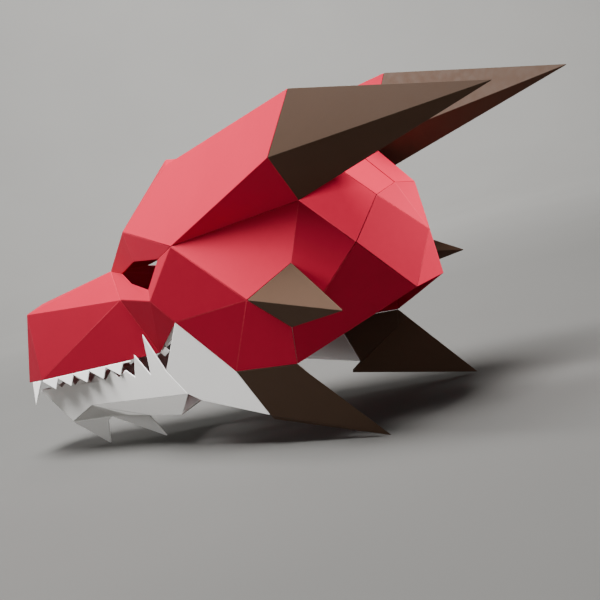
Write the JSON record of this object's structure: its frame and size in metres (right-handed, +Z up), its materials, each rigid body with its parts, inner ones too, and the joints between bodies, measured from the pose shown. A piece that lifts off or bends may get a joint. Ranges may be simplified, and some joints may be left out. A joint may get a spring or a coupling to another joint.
{
  "type": "dragon head mask",
  "caption": "Low-poly dragon head mask of folded card, worn over the head: red head with open eye holes, brown horns and spikes, and a white jaw with saw-cut teeth.",
  "frame": {"origin": "bottom centre of the mask as it rests on its chin spikes and cheek spikes", "axes": "+Z up, -Y the way the dragon faces, +X its left side"},
  "size_m": [0.238, 0.6677, 0.3],
  "materials": {
    "red_card": "matte coloured card with pale creases",
    "brown_card": "matte coloured card with pale creases",
    "white_card": "matte white card"
  },
  "bodies": {
    "root": {"snout_side_left": "red_card", "snout_side_right": "red_card", "jowl_left": "red_card", "jowl_right": "red_card", "eye_socket_left": "red_card", "eye_socket_right": "red_card", "brow_front_left": "red_card", "brow_front_right": "red_card", "horn_sleeve_left": "red_card", "horn_sleeve_right": "red_card", "sleeve_underside_left": "red_card", "sleeve_underside_right": "red_card", "sleeve_inner_left": "red_card", "sleeve_inner_right": "red_card", "temple_left": "red_card", "temple_right": "red_card", "crown_side_left": "red_card", "crown_side_right": "red_card", "back_panel_left": "red_card", "back_panel_right": "red_card", "neck_panel_left": "red_card", "neck_panel_right": "red_card", "cheek_left": "red_card", "cheek_right": "red_card", "ear_spike_left": "brown_card", "ear_spike_right": "brown_card", "horn_left": "brown_card", "horn_right": "brown_card", "cheek_spike_left": "brown_card", "cheek_spike_right": "brown_card", "cheek_plate_left": "white_card", "cheek_plate_right": "white_card", "jaw_side_left": "white_card", "jaw_side_right": "white_card", "jaw_under_left": "white_card", "jaw_under_right": "white_card", "upper_teeth_left": "white_card", "upper_teeth_right": "white_card", "front_fang_left": "white_card", "front_fang_right": "white_card", "nose_front": "red_card", "snout_ridge": "red_card", "forehead": "red_card", "crown_front": "red_card", "crown_top": "red_card", "crown_kite": "red_card", "nape": "red_card", "jaw_floor": "white_card", "chin_spike_front": "white_card", "chin_spike_rear": "white_card"}
  },
  "joints": []
}
